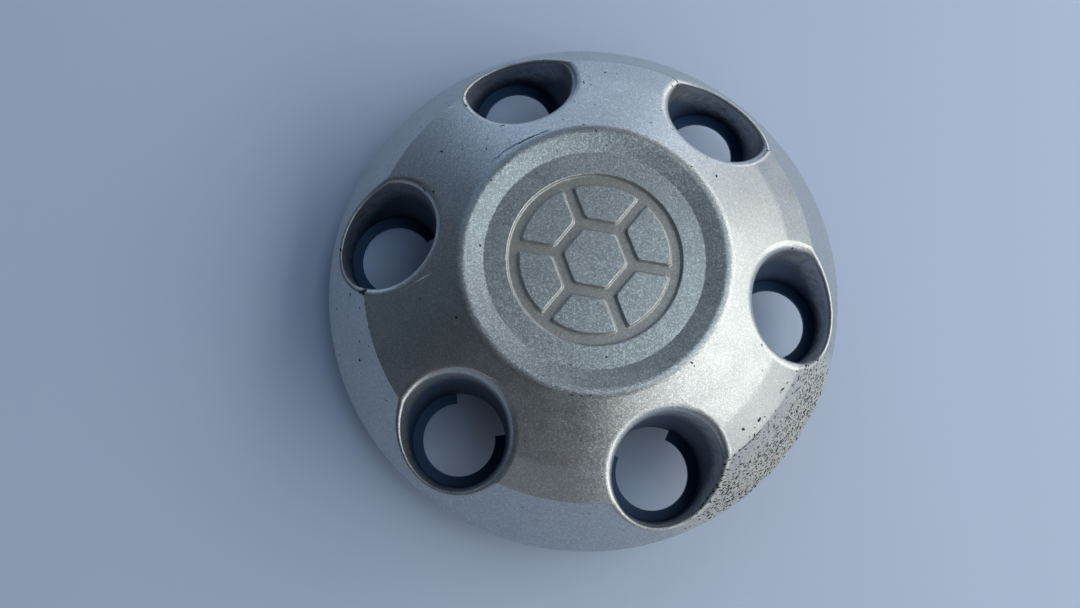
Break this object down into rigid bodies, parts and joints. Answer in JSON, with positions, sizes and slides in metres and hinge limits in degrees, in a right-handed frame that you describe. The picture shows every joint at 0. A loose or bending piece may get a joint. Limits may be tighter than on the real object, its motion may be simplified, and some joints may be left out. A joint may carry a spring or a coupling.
{
  "type": "wheel centre cap",
  "caption": "Domed plastic wheel centre cap with rolled-lip wheel-nut wells, a creased skirt, a dished centre face with plain grooves, and clip legs behind it.",
  "frame": {"origin": "on the cap's axis, in the plane of the clip ends that it lies on", "axes": "+Z along the cap's axis, out of its painted face; a wheel-nut well lies on +X"},
  "size_m": [0.1818, 0.1816, 0.0683],
  "materials": {
    "silver_paint": "metallic silver paint over a black ABS moulding, worn and pitted"
  },
  "bodies": {
    "root": {"cap": "silver_paint"}
  },
  "joints": []
}
